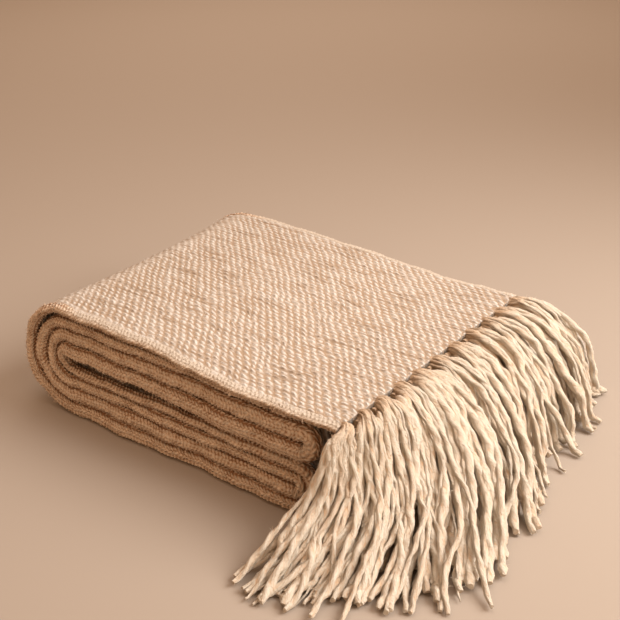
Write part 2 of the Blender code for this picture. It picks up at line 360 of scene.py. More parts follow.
class Board:
    """Puts nodes into one tree, so that a formula in the code reads as one."""

    def __init__(self, tree):
        self.tree = tree

    def add(self, kind, **settings):
        node = self.tree.nodes.new(kind)
        for label, value in settings.items():
            setattr(node, label, value)
        return node

    def put(self, socket, value):
        if isinstance(value, bpy.types.NodeSocket):
            self.tree.links.new(value, socket)
        else:
            socket.default_value = value

    def fill(self, node, values):
        """Fills a node's inputs, in their order or by their labels."""
        for key, value in values.items() if isinstance(values, dict) else enumerate(values):
            self.put(node.inputs[key], value)

    def made(self, kind, values, **settings):
        node = self.add(kind, **settings)
        self.fill(node, values)
        return node

    def math(self, operation, *values):
        return self.made("ShaderNodeMath", values, operation=operation).outputs[0]

    def plus(self, first, second):
        return self.math("ADD", first, second)

    def minus(self, first, second):
        return self.math("SUBTRACT", first, second)

    def times(self, first, second):
        return self.math("MULTIPLY", first, second)

    def times_plus(self, first, second, third):
        return self.math("MULTIPLY_ADD", first, second, third)

    def vector(self, operation, *values):
        return self.made("ShaderNodeVectorMath", values, operation=operation).outputs[0]

    def scaled(self, vector, factor):
        inputs = {0: vector, "Scale": factor}
        return self.made("ShaderNodeVectorMath", inputs, operation="SCALE").outputs[0]

    def split(self, vector):
        return self.made("ShaderNodeSeparateXYZ", [vector]).outputs[:3]

    def join(self, x, y, z):
        return self.made("ShaderNodeCombineXYZ", (x, y, z)).outputs[0]

    def noise(self, place, scale, detail=1.0, roughness=0.5):
        inputs = {"Vector": place, "Scale": scale, "Detail": detail, "Roughness": roughness}
        return self.made("ShaderNodeTexNoise", inputs).outputs[0]

    def chance(self, place):
        inputs = {"Vector": place}
        return self.made("ShaderNodeTexWhiteNoise", inputs, noise_dimensions="3D").outputs[0]

    def wave(self, turns):
        """A smooth swing from 0 to 1 and back, once a turn, with 1 at each whole turn."""
        swing = self.math("COSINE", self.math("MULTIPLY", turns, 2 * math.pi))
        return self.math("MULTIPLY_ADD", swing, 0.5, 0.5)

    def centred(self, value):
        """A value from 0 to 1, set about zero."""
        return self.math("SUBTRACT", value, 0.5)

    def range(self, value, low, high, to_low=0.0, to_high=1.0):
        return self.made("ShaderNodeMapRange", (value, low, high, to_low, to_high)).outputs[0]


# How a weave repeats: the length of one float along the cloth, the width of one row, how far
# each row is set along from the last for each metre across, how far each float is set across
# from the last for each metre along, how much of a float stays up between rows, and how far
# the rows stray.
Weave = namedtuple("Weave", "repeat row slant rise merge stray")
FACE_WEAVE = Weave(0.0086, 0.0057, 0.77, -0.083, 0.06, 1.00)
WEAVE_STRAY_SCALE = 75.0
WEAVE_STRAY_SHIFT = (3.1, 7.7, 1.3)
ROW_SHARPNESS = 1.3
FLOAT_SHARPNESS = 1.1
FLOAT_SIZES = (0.40, 1.25)
CALM_HEIGHT = 0.25
FIBRE_ROUGHNESS = Wander(330.0, 0.35)

# How the stitches of an edge repeat: their pitch along it and round it, how far each row is
# set along from the last, and how they lean and stray
STITCH_ALONG = 0.0041
STITCH_ROUND = 0.0041
STITCH_DEPTH = 0.0024
CALM_STITCH_SHARE = 0.4
STITCH_SHIFT = 0.37
STITCH_LEAN = 2.4
STITCH_STRAY_SCALE = 110.0
STITCH_STRAY = (1.2, 1.1)
STITCH_ROWS = (0.60, 0.40)
STITCH_STEPS = (0.65, 0.35)

# The soft swells of an edge, broad and fine, and the level they lie about
FELT_BROAD = Wander(70.0, 0.9)
FELT_FINE = Wander(230.0, 0.55)
FELT_MIDDLE = 0.72


def weave_relief(board, place, weave):
    """Height of the woven floats from 0 to 1, and a chance value for each float."""
    along, across, side = board.split(place)
    stray = board.centred(board.noise(place, WEAVE_STRAY_SCALE, 2.0))
    elsewhere = board.vector("ADD", place, WEAVE_STRAY_SHIFT)
    drift = board.centred(board.noise(elsewhere, WEAVE_STRAY_SCALE, 2.0))
    risen = board.times_plus(along, weave.rise, across)
    row = board.times_plus(stray, weave.stray, board.math("DIVIDE", risen, weave.row))
    slanted = board.times_plus(across, -weave.slant, along)
    step = board.times_plus(drift, weave.stray, board.math("DIVIDE", slanted, weave.repeat))
    row_top = board.math("POWER", board.wave(row), ROW_SHARPNESS)
    between_rows = board.times_plus(row_top, 1.0 - weave.merge, weave.merge)
    float_top = board.math("POWER", board.wave(step), FLOAT_SHARPNESS)
    relief = board.times(float_top, between_rows)
    number = board.join(
        board.math("FLOOR", board.plus(step, 0.5)),
        board.math("FLOOR", board.plus(row, 0.5)),
        side,
    )
    return relief, board.chance(number)


def stitch_relief(board, place):
    """Height of an edge's small slanted stitches from 0 to 1, and a chance value for each."""
    along, round_edge, side = board.split(place)
    stray = board.centred(board.noise(place, STITCH_STRAY_SCALE, 2.0))
    row = board.math("DIVIDE", round_edge, STITCH_ROUND)
    row = board.times_plus(stray, STITCH_STRAY[0], row)
    whole_row = board.math("FLOOR", board.plus(row, 0.5))
    in_row = board.minus(row, whole_row)
    lean = board.math("SINE", board.times(whole_row, STITCH_LEAN))
    lean = board.times(lean, in_row)
    step = board.math("DIVIDE", along, STITCH_ALONG)
    step = board.times_plus(whole_row, STITCH_SHIFT, step)
    step = board.times_plus(stray, STITCH_STRAY[1], board.plus(step, lean))
    whole_step = board.math("FLOOR", board.plus(step, 0.5))
    rows = board.times_plus(board.wave(row), *STITCH_ROWS)
    steps = board.times_plus(board.wave(step), *STITCH_STEPS)
    number = board.join(whole_step, whole_row, side)
    return board.times(rows, steps), board.chance(number)


def new_tree(name, kind, inputs, outputs):
    """A node tree with named sockets, and its board, input node and output node."""
    tree = bpy.data.node_groups.new(name, kind)
    for way, sockets in (("INPUT", inputs), ("OUTPUT", outputs)):
        for label, socket in sockets:
            tree.interface.new_socket(label, in_out=way, socket_type="NodeSocket" + socket)
    board = Board(tree)
    return tree, board, board.add("NodeGroupInput"), board.add("NodeGroupOutput")


def geometry_tree(name, inputs):
    geometry = [("Geometry", "Geometry")]
    return new_tree(name, "GeometryNodeTree", geometry + inputs, geometry)


def moved_out(board, surface, distance):
    """The surface moved out along its normals, and kept above the floor."""
    offset = board.scaled(board.add("GeometryNodeInputNormal").outputs[0], distance)
    place = board.vector("ADD", board.add("GeometryNodeInputPosition").outputs[0], offset)
    x, y, z = board.split(place)
    kept = board.join(x, y, board.math("MAXIMUM", z, 0.0))
    return board.made("GeometryNodeSetPosition", {"Geometry": surface, "Position": kept}).outputs[0]


def named(board, label, kind="FLOAT"):
    node = board.made("GeometryNodeInputNamedAttribute", {"Name": label}, data_type=kind)
    return node.outputs["Attribute"]


def finish_tree(board, source, geometry, output):
    """Realizes, sets the material and ends the tree."""
    whole = board.made("GeometryNodeRealizeInstances", [geometry])
    inputs = {"Geometry": whole.outputs[0], "Material": source.outputs["Material"]}
    dressed = board.made("GeometryNodeSetMaterial", inputs)
    board.put(output.inputs["Geometry"], dressed.outputs[0])


def grown(piece, tree, **values):
    """Runs a tree on a piece and leaves the result as the piece's own plain mesh."""
    modifier = piece.modifiers.new(tree.name, "NODES")
    modifier.node_group = tree
    for item in tree.interface.items_tree:
        label = item.name.lower().replace(" ", "_")
        if item.in_out == "INPUT" and label in values:
            modifier[item.identifier] = values[label]
    graph = bpy.context.evaluated_depsgraph_get()
    result = bpy.data.meshes.new_from_object(piece.evaluated_get(graph))
    piece.modifiers.remove(modifier)
    spare = piece.data
    piece.data = result
    bpy.data.meshes.remove(spare)
    result.name = piece.name
    return piece


SKIN_INPUTS = [
    ("Depth", "Float"), ("Lift", "Float"), ("Hair Density", "Float"), ("Material", "Material"),
]


def raised(board, source, height):
    """A skin moved out by its height and lift, as far as it may rise at each place."""
    out = board.plus(height, source.outputs["Lift"])
    out = board.times(out, named(board, "raise"))
    return moved_out(board, source.outputs["Geometry"], out)


def weave_tree():
    """Raises woven floats on a fine grid along its normals, lower and hairy where it is calm."""
    tree, board, source, output = geometry_tree("raise_weave", SKIN_INPUTS)
    place = named(board, "cloth_at", "FLOAT_VECTOR")
    calm = named(board, "calm")
    relief, chance = weave_relief(board, place, FACE_WEAVE)
    floats = board.times(relief, board.range(chance, 0.0, 1.0, *FLOAT_SIZES))
    floats = board.times(floats, board.range(calm, 0.0, 1.0, 1.0, CALM_HEIGHT))
    rough = board.centred(board.noise(place, FIBRE_ROUGHNESS.scale, 2.0))
    rough = board.times(rough, FIBRE_ROUGHNESS.share)
    height = board.times(board.plus(floats, rough), source.outputs["Depth"])
    density = board.times(calm, source.outputs["Hair Density"])
    hairy = with_hairs(board, raised(board, source, height), density)
    finish_tree(board, source, hairy, output)
    return tree


def felt_tree():
    """Raises stitches and soft swells on a grid, as the edges of thick brushed wool have."""
    tree, board, source, output = geometry_tree("swell_felt", SKIN_INPUTS)
    place = named(board, "cloth_at", "FLOAT_VECTOR")
    broad = board.times(board.noise(place, FELT_BROAD.scale, 1.0), FELT_BROAD.share)
    fine = board.noise(place, FELT_FINE.scale, 2.0)
    swell = board.times_plus(fine, FELT_FINE.share, broad)
    swell = board.minus(swell, FELT_MIDDLE)
    swell = board.times(swell, source.outputs["Depth"])
    stitches, _ = stitch_relief(board, place)
    depths = (STITCH_DEPTH, CALM_STITCH_SHARE * STITCH_DEPTH)
    stitch_depth = board.range(named(board, "calm"), 0.0, 1.0, *depths)
    height = board.times_plus(board.centred(stitches), stitch_depth, swell)
    hairy = with_hairs(board, raised(board, source, height), source.outputs["Hair Density"])
    finish_tree(board, source, hairy, output)
    return tree


# A loose hair: its line from the root, drawn as one straight span from its start to its end, its
# radius, how it leans, and its sizes. Hairs keep clear of the floor, and come in over this range of
# heights.
HAIR_LINE = {
    "Start": (0.0, 0.0, -0.0002),
    "Middle": (0.0, 0.0, 0.0016),
    "End": (0.0016, 0.0, 0.0026),
}
HAIR_RADIUS = 0.00018
HAIR_TIP_SHARE = 0.25
HAIR_LEAN = (1.15, 1.15, 3.1)
HAIR_SIZES = (0.5, 1.5)
HAIR_SEED = 5
HAIR_CLEAR = (0.005, 0.010)


def hair_cone(board):
    """One short straight hair that stands on its root, as a fine three-sided spike."""
    line = board.made("GeometryNodeCurveQuadraticBezier", {"Resolution": 1, **HAIR_LINE})
    inputs = {"Resolution": 3, "Radius": HAIR_RADIUS}
    profile = board.made("GeometryNodeCurvePrimitiveCircle", inputs, mode="RADIUS")
    along = board.add("GeometryNodeSplineParameter").outputs["Factor"]
    taper = board.range(along, 0.0, 1.0, 1.0, HAIR_TIP_SHARE)
    return swept(board, line.outputs[0], profile.outputs[0], taper)


def swept(board, line, profile, scale):
    """A closed tube along a line."""
    inputs = {"Curve": line, "Profile Curve": profile, "Scale": scale, "Fill Caps": True}
    return board.made("GeometryNodeCurveToMesh", inputs).outputs[0]


def with_hairs(board, surface, density):
    """The surface with loose hairs on it, each lying its own way."""
    height = board.split(board.add("GeometryNodeInputPosition").outputs[0])[2]
    density = board.times(density, board.range(height, *HAIR_CLEAR))
    inputs = {"Mesh": surface, "Density": density, "Seed": HAIR_SEED}
    spread = board.made("GeometryNodeDistributePointsOnFaces", inputs)
    limits = (tuple(-angle for angle in HAIR_LEAN), HAIR_LEAN)
    lean = board.made("FunctionNodeRandomValue", limits, data_type="FLOAT_VECTOR")
    angles = board.made("FunctionNodeEulerToRotation", [lean.outputs[0]])
    turns = [spread.outputs["Rotation"], angles.outputs[0]]
    turned = board.made("FunctionNodeRotateRotation", turns, rotation_space="LOCAL")
    sizes = dict(zip((2, 3), HAIR_SIZES))
    size = board.made("FunctionNodeRandomValue", sizes, data_type="FLOAT")
    inputs = {
        "Points": spread.outputs["Points"], "Instance": hair_cone(board),
        "Rotation": turned.outputs[0], "Scale": size.outputs[1],
    }
    planted = board.made("GeometryNodeInstanceOnPoints", inputs)
    both = board.add("GeometryNodeJoinGeometry")
    board.tree.links.new(planted.outputs[0], both.inputs[0])
    board.tree.links.new(surface, both.inputs[0])
    return both.outputs[0]


YARN_ROUGHNESS = Wander(240.0, 0.0024)
PLY_SHARPNESS = 0.6


def yarn_tree():
    """Spins yarns along chains of edges: thick and thin, with soft twisted plies."""
    tree, board, source, output = geometry_tree(
        "spin_yarn",
        [
            ("Sides", "Int"), ("Plies", "Float"), ("Turns", "Float"), ("Ply Depth", "Float"),
            ("Hair Density", "Float"), ("Material", "Material"),
        ],
    )
    s = source.outputs
    chain = board.made("GeometryNodeMeshToCurve", {"Mesh": s["Geometry"]})
    inputs = {"Resolution": s["Sides"], "Radius": 1.0}
    ring = board.made("GeometryNodeCurvePrimitiveCircle", inputs, mode="RADIUS")
    inputs = {
        "Name": "around", "Geometry": ring.outputs["Curve"],
        "Value": board.add("GeometryNodeSplineParameter").outputs["Factor"],
    }
    profile = board.made(
        "GeometryNodeStoreNamedAttribute", inputs, data_type="FLOAT", domain="POINT"
    )
    radius = named(board, "yarn_radius")
    tube = swept(board, chain.outputs[0], profile.outputs[0], radius)
    around = named(board, "around")
    turned = board.times_plus(named(board, "yarn_along"), s["Turns"], around)
    plies = board.wave(board.times(turned, s["Plies"]))
    depth = board.times(board.math("POWER", plies, PLY_SHARPNESS), s["Ply Depth"])
    place = board.add("GeometryNodeInputPosition").outputs[0]
    rough = board.centred(board.noise(place, YARN_ROUGHNESS.scale, 2.0))
    rough = board.times(rough, YARN_ROUGHNESS.share)
    out = board.plus(board.times(board.centred(depth), radius), rough)
    smooth = board.made("GeometryNodeSetShadeSmooth", {"Geometry": moved_out(board, tube, out)})
    finish_tree(board, source, with_hairs(board, smooth.outputs[0], s["Hair Density"]), output)
    return tree


# Finishes


def colour(red, green, blue):
    return (red, green, blue, 1.0)


# A wool's fibres: the scale of their noise, their share in the colour and in the bump, and
# how high the bump is
Fibre = namedtuple("Fibre", "scale share in_bump bump")
FACE_FIBRE = Fibre(900.0, 0.7, 0.45, 0.0010)
FOLD_FIBRE = Fibre(900.0, 0.5, 0.25, 0.0022)
EDGE_FIBRE = Fibre(600.0, 0.5, 0.50, 0.0026)
YARN_FIBRE = Fibre(1.5, 2.6, 1.00, 0.0016)
WOOL = {
    "Roughness": 0.95, "Specular IOR Level": 0.12, "Sheen Weight": 0.08,
    "Sheen Roughness": 0.6, "Sheen Tint": colour(1.0, 0.85, 0.70),
}
COLOUR_LABELS = ("Pit Colour", "Body Colour", "Tip Colour", "Fleck Colour")
CALM_LEVEL = 0.30
# Relief levels where the colour turns from the pit colour, painted shade, to the body, and from the
# body to the tip colour, a painted highlight
PIT_TO_BODY = (-0.04, 0.30)
BODY_TO_TIP = (0.36, 0.85)
CHANCE_SHARE = 0.22
FLECK_OR_PAINTED_SHADING_SHARE = 0.85
HEATHER_STRETCH = (19.0, 200.0)
HEATHER_LEVELS = (0.52, 0.65)
STITCH_SHADES = (0.85, -0.04)
TUFTS = Wander(260.0, 0.35)
MOTTLE = Wander(45.0, 0.30)
# Painted shade darkens the grooves between the layers' rolls; painted light raises the level on the
# top of the top layer's roll, whose bump is calmer there
GROOVE_SHADE_SHARE = -0.28
PALE_SHARE = 0.15
PALE_CALM = -0.6
FRIZZ_SCALE = 620.0
PLY_SHADES = (0.40, 0.78)
PLY_BUMP = 0.4
# How much of the fringe's painted shade colour a yarn takes at its gathered root
ROOT_SHADE_SHARE = 0.75
FIBRE_STRETCH = (12.0, 130.0, 50.0)


def wool_group():
    """Wool's colour and fine hair. A level made of the relief, uneven dye and fibres runs from the
    pit colour, a painted shade in pits and grooves, through the body to the tip colour, a painted
    highlight on the tops; then a second colour mixes in: heather streaks on the face, painted light
    on the edges' top roll, painted shade at the fringe's roots.
    """
    inputs = [("Place", "Vector"), ("Relief", "Float"), ("Chance", "Float"), ("Streak", "Float")]
    inputs += [(label, "Color") for label in COLOUR_LABELS]
    inputs += [("Hair Scale", "Float"), ("Hair Share", "Float")]
    outputs = [("Color", "Color"), ("Hair", "Float")]
    tree, board, source, output = new_tree("wool_fibre", "ShaderNodeTree", inputs, outputs)
    s = source.outputs
    hair = board.noise(s["Place"], s["Hair Scale"], 3.0, 0.6)
    level = board.times_plus(board.centred(s["Chance"]), CHANCE_SHARE, s["Relief"])
    level = board.times_plus(board.centred(hair), s["Hair Share"], level)

    def blend(factor, first, second):
        values = {"Factor": factor, 6: first, 7: second}
        node = board.made("ShaderNodeMix", values, data_type="RGBA", clamp_factor=True)
        return node.outputs[2]

    # Low levels get painted shade from the pit colour and high levels a painted highlight from the
    # tip colour; the uneven dye and fibres in the level are the wool's own
    low = blend(board.range(level, *PIT_TO_BODY), s["Pit Colour"], s["Body Colour"])
    high = blend(board.range(level, *BODY_TO_TIP), low, s["Tip Colour"])
    # The second colour: heather flecks on the face, painted light on the top of the top layer's
    # roll, and painted shade at the fringe's gathered roots and on covered yarns
    flecked_or_painted_shading = blend(board.times(s["Streak"], FLECK_OR_PAINTED_SHADING_SHARE), high, s["Fleck Colour"])
    board.fill(output, {"Color": flecked_or_painted_shading, "Hair": hair})
    return tree


def principled(name, values):
    """A material with these values on its shader's own sockets, its board and its shader."""
    material = bpy.data.materials.new(name)
    material.use_nodes = True
    board = Board(material.node_tree)
    shader = material.node_tree.nodes["Principled BSDF"]
    board.fill(shader, values)
    return material, board, shader


def attribute(board, label, output="Fac"):
    kind = "ShaderNodeAttribute"
    return board.add(kind, attribute_type="GEOMETRY", attribute_name=label).outputs[output]


def bumped(board, shader, height, distance):
    values = {"Strength": 1.0, "Distance": distance, "Height": height}
    bump = board.made("ShaderNodeBump", values)
    board.put(shader.inputs["Normal"], bump.outputs[0])


def dressed_wool(board, shader, group, colours, fibre, place, relief, chance, streak):
    """Puts the wool group into a material, and links its colour."""
    values = {"Place": place, "Relief": relief, "Chance": chance, "Streak": streak}
    values.update((label, colour(*tint)) for label, tint in zip(COLOUR_LABELS, colours))
    values.update({"Hair Scale": fibre.scale, "Hair Share": fibre.share})
    wool = board.made("ShaderNodeGroup", values, node_tree=group)
    board.put(shader.inputs["Base Color"], wool.outputs["Color"])
    return wool.outputs["Hair"]


def heather_streaks(board, place):
    """Where darker fibres run in the rows of the weave."""
    along, across, side = board.split(place)
    along = board.times(along, HEATHER_STRETCH[0])
    across = board.times(across, HEATHER_STRETCH[1])
    streaks = board.noise(board.join(along, across, side), 1.0, 3.0, 0.6)
    return board.range(streaks, *HEATHER_LEVELS)


def face_material(name, group, colours, fibre, calmed):
    """Woven wool. In a calmed material the weave fades where its piece is marked calm."""
    material, board, shader = principled(name, WOOL)
    place = attribute(board, "cloth_at", "Vector")
    shown, chance = weave_relief(board, place, FACE_WEAVE)
    streak = heather_streaks(board, place)
    if calmed:
        fall = board.minus(CALM_LEVEL, shown)
        shown = board.times_plus(fall, attribute(board, "calm"), shown)
    hair = dressed_wool(board, shader, group, colours, fibre, place, shown, chance, streak)
    bumped(board, shader, board.times_plus(hair, fibre.in_bump, shown), fibre.bump)
    return material


def edge_material(name, group, colours, fibre):
    """The stitched long edges: brushed wool with rows of small slanted stitches. Their colours are
    a warmer, more saturated copy of the face's, painting the warm shade the edges stand in, with
    painted shade in the stitch pits and in the grooves between layers, and painted light on the top
    of the top layer's roll.
    """
    material, board, shader = principled(name, WOOL)
    place = attribute(board, "cloth_at", "Vector")
    stitches, chance = stitch_relief(board, place)
    tufts = board.centred(board.noise(place, TUFTS.scale, 3.0, 0.6))
    mottle = board.centred(board.noise(place, MOTTLE.scale, 2.0))
    # Painted light: the top of the top layer's roll, where the light falls, takes a face-like
    # colour instead of the edges' warm shade colour, and a higher level
    lit_roll = attribute(board, "calm")
    # Painted shade in the grooves where the layers' rolls meet
    groove_shade = attribute(board, "groove_shade")
    relief = board.times_plus(stitches, *STITCH_SHADES)
    shades = ((tufts, TUFTS.share), (mottle, MOTTLE.share), (groove_shade, GROOVE_SHADE_SHARE), (lit_roll, PALE_SHARE))
    for cause, share in shades:
        relief = board.times_plus(cause, share, relief)
    hair = dressed_wool(board, shader, group, colours, fibre, place, relief, chance, lit_roll)
    kept = board.times_plus(lit_roll, PALE_CALM, 1.0)
    shown = board.times(stitches, kept)
    bumped(board, shader, board.times_plus(hair, fibre.in_bump, shown), fibre.bump)
    return material


def yarn_material(name, group, colours, fibre):
    """Loosely spun fringe yarn, with fibres that run along it, and painted shade at its gathered
    root and along the yarns that lie under others.
    """
    material, board, shader = principled(name, WOOL)
    labels = ("yarn_along", "around", "yarn_tone", "yarn_root")
    along, around, tone, root = (attribute(board, label) for label in labels)
    turned = board.times_plus(along, YARN_TURNS, around)
    plies = board.wave(board.times(turned, YARN_PLIES))
    stretched = zip((turned, along, tone), FIBRE_STRETCH)
    place = board.join(*(board.times(*pair) for pair in stretched))
    # The grooves between the plies take the pit colour: painted warm shade
    relief = board.range(plies, 0.0, 1.0, *PLY_SHADES)
    # Painted shade at the gathered root, on covered yarns and on the header yarns
    root_shade = board.times(root, ROOT_SHADE_SHARE)
    hair = dressed_wool(board, shader, group, colours, fibre, place, relief, tone, root_shade)
    frizz = board.noise(board.add("ShaderNodeTexCoord").outputs["Object"], FRIZZ_SCALE, 3.0, 0.7)
    fibres = board.times_plus(frizz, fibre.in_bump, hair)
    bumped(board, shader, board.times_plus(plies, PLY_BUMP, fibres), fibre.bump)
    return material


# The cloth's pieces

PATH_STEP = 0.0055
FACE_STEP = 0.0015
EDGE_STEP = 0.0016
EDGE_ROUND = 0.0062
EDGE_FLAT = 0.22
BAND_REACH = 0.0100
BAND_COVER = 0.0010
SKIN_SINK = 0.0008
END_TUCK = 0.0015
FACE_INSET = 0.0026
FACE_LADDER = 12
FACE_TUCK = 0.74
CALM_REACH = (0.0070, 0.0140)
CALM_FOLD = 0.45
CALM_START = 0.3
CALM_TURN = (-0.01, 0.015)
FACE_RIM = 0.0035
FACE_HAIRS = 14000.0
FACE_LENGTH = TOP_LENGTH + OUTER_FOLD_LENGTH
FACE_RELIEF = {"depth": 0.0014, "lift": -0.0001}
EDGE_RELIEF = {"depth": 0.0016, "lift": 0.0002}
EDGE_SECTION = 0.0135
EDGE_RIM = 0.0030
# Painted light on the top layer's roll: where it starts and ends along the cloth and how far round
# the roll it reaches; then where the painted groove shade starts round each roll
PALE_END = (0.01, -0.03)
PALE_LEVELS = (-0.1, 0.95)
GROOVE_SHADE_LEVELS = (0.55, 1.0)
NEAR_HAIRS = 36000.0
FAR_EDGE_STEP = 0.0024
FAR_HAIRS = 15000.0
SKIN_INSETS = [0.0, 0.0004, 0.0011, 0.0020, 0.0032, 0.0050, 0.0090]
SKIN_MIDDLE_INSET = 0.022
SKIN_MIDDLE_ROWS = 18


def rounded_share(inset):
    """The cloth's share of its full thickness near a long edge."""
    away = np.clip(1.0 - inset / EDGE_ROUND, 0.0, 1.0)
    return EDGE_FLAT + (1.0 - EDGE_FLAT) * np.sqrt(1.0 - away * away)


def across_place(along, inset, near):
    """Where a place lies across the stack, from how far in from a long edge it is."""
    back = on_path(along, BACK_COLUMN)
    if near:
        return back + edge_wander(along, True) + inset
    return STACK_WIDTH - FAR_SET_BACK_SHARE * back + edge_wander(along, False) - inset


def folded_cloth(material):
    """The whole folded cloth as one closed skin, with rounded long edges."""
    steps = int(CLOTH_LENGTH / PATH_STEP)
    along = np.linspace(0.0, CLOTH_LENGTH, steps)
    loop = np.concatenate([along, along[::-1]])
    side = np.concatenate([np.ones(steps), -np.ones(steps)])
    thick = on_path(loop, THICK_COLUMN)
    middle = (SKIN_MIDDLE_INSET, STACK_WIDTH - SKIN_MIDDLE_INSET)
    rows = [(inset, True) for inset in SKIN_INSETS]
    rows += [(place, None) for place in np.linspace(*middle, SKIN_MIDDLE_ROWS)]
    rows += [(inset, False) for inset in reversed(SKIN_INSETS)]
    points = []
    places = []
    for inset, near in rows:
        if near is None:
            across = np.full(len(loop), inset)
            share = 1.0
        else:
            across = across_place(loop, inset + BAND_COVER, near)
            share = rounded_share(inset)
        points.append(stack_points(loop, across, side * (thick / 2 - SKIN_SINK) * share))
        places.append(np.stack([loop, across, side], axis=-1))
    count = len(loop)
    faces = grid_faces(len(rows), count)
    for row in range(len(rows) - 1):
        a = row * count
        faces.append([a + count - 1, a + 2 * count - 1, a + count, a])
    last = (len(rows) - 1) * count
    for i in range(steps - 1):
        faces.append([i, i + 1, count - 2 - i, count - 1 - i])
        faces.append([last + count - 1 - i, last + count - 2 - i, last + i + 1, last + i])
    attributes = {"cloth_at": np.concatenate(places)}
    piece = mesh_piece("throw_cloth_folds", np.concatenate(points), faces, attributes)
    piece.data.materials.append(material)
    return piece


def closed_sheet(name, grid, inner, places, raise_share, calm, groove_shade, tree, flip, **values):
    """A fine skin whose back is a plain ladder of long faces, closed all round."""
    rows, columns, _ = grid.shape
    points = np.concatenate([grid.reshape(-1, 3), inner.reshape(-1, 3)])
    faces = grid_faces(rows, columns, flip=flip)
    back = rows * columns
    ladder = inner.shape[1]
    flipped = [face[::-1] for face in grid_faces(rows, ladder, back)]
    for i in range(rows - 1):
        a, b = back + ladder * i, back + ladder * (i + 1) - 1
        flipped.append([i * columns, a, a + ladder, (i + 1) * columns])
        flipped.append([(i + 1) * columns - 1, (i + 2) * columns - 1, b + ladder, b])
    flipped.append(list(range(columns)) + list(range(back, back + ladder))[::-1])
    end = (rows - 1) * columns
    end_back = back + (rows - 1) * ladder
    rim = list(range(end, end + columns))
    flipped.append(rim[::-1] + list(range(end_back, end_back + ladder)))
    faces += [face[::-1] for face in flipped] if flip else flipped
    count = rows * ladder
    attributes = {"cloth_at": np.concatenate([places.reshape(-1, 3), np.zeros((count, 3))])}
    # The last mask is painted shade for the grooves between the edges' layers
    for label, part in (("raise", raise_share), ("calm", calm), ("groove_shade", groove_shade)):
        attributes[label] = np.concatenate([part.ravel(), np.zeros(count)])
    return grown(mesh_piece(name, points, faces, attributes), tree, **values)


def edge_profile(step):
    """A long edge in section, from its underside round to its top: insets and levels."""
    turns = np.linspace(-0.5 * math.pi, 0.5 * math.pi, int(EDGE_SECTION / step) + 1)
    flat_steps = max(2, int((BAND_REACH - EDGE_ROUND) / step))
    flat = np.linspace(BAND_REACH, EDGE_ROUND, flat_steps, endpoint=False)
    inset = np.concatenate([flat, EDGE_ROUND * (1.0 - np.cos(turns)), flat[::-1]])
    level = np.concatenate([np.full(flat_steps, -1.0), np.sin(turns), np.full(flat_steps, 1.0)])
    return inset, level


def skin_of(name, along, across, level, side, fade, calm, groove_shade, ladder, flip, tree, **values):
    """A grid of skin on the cloth, with both its ends tucked in, closed at its back."""
    rows = np.concatenate([[0], np.arange(len(along)), [len(along) - 1]])
    along = along[rows]
    along[0] += END_TUCK
    along[-1] -= END_TUCK
    across, level, fade, calm, groove_shade = (part[rows] for part in (across, level, fade, calm, groove_shade))
    fade[0] = fade[-1] = 0.0
    half = np.repeat(on_path(along, THICK_COLUMN)[:, None] / 2, across.shape[1], axis=1)
    half[0] -= END_TUCK + SKIN_SINK
    half[-1] -= END_TUCK + SKIN_SINK
    flat = np.repeat(along[:, None], across.shape[1], axis=1)
    grid = stack_points(flat, across, half * level)
    stride = np.hypot(np.diff(across, axis=1), np.diff(half * level, axis=1))
    arc = np.concatenate([np.zeros((len(along), 1)), np.cumsum(stride, axis=1)], axis=1)
    rungs = np.linspace(0, across.shape[1] - 1, ladder).round().astype(int)
    sunk = (half * level)[:, rungs] - END_TUCK * np.sign(level[:, rungs])
    inner = stack_points(flat[:, rungs], across[:, rungs], sunk)
    places = np.stack([flat, arc, np.full_like(flat, side)], axis=-1)
    return closed_sheet(name, grid, inner, places, fade, calm, groove_shade, tree, flip, **values)


def top_face(tree, material):
    """The woven face that shows, over the top and round the big fold, between the edges."""
    along = np.linspace(0.0, FACE_LENGTH, int(FACE_LENGTH / FACE_STEP))
    near = across_place(along[:, None], np.array([[FACE_INSET]]), True)
    far = across_place(along[:, None], np.array([[FACE_INSET]]), False)
    shares = np.linspace(0.0, 1.0, int((STACK_WIDTH - 2 * FACE_INSET) / FACE_STEP))
    across = near + (far - near) * shares[None, :]
    from_side = in_rows(from_rim(len(shares), FACE_STEP), len(along))
    fade = smooth_share(from_side, 0.0, FACE_RIM)
    level = mix(FACE_TUCK, 1.0, fade)
    reach = mix(*CALM_REACH, np.clip(along / TOP_LENGTH, 0.0, 1.0))[:, None]
    calm = 1.0 - smooth_share(from_side / reach, CALM_START, 1.0)
    past_top = smooth_share(along, TOP_LENGTH + CALM_TURN[0], TOP_LENGTH + CALM_TURN[1])
    calm = np.maximum(calm, CALM_FOLD * past_top[:, None])
    return skin_of(
        "throw_cloth_face", along, across, level, 1.0, fade, calm, np.zeros_like(calm),
        FACE_LADDER, True, tree, hair_density=FACE_HAIRS, material=material, **FACE_RELIEF,
    )


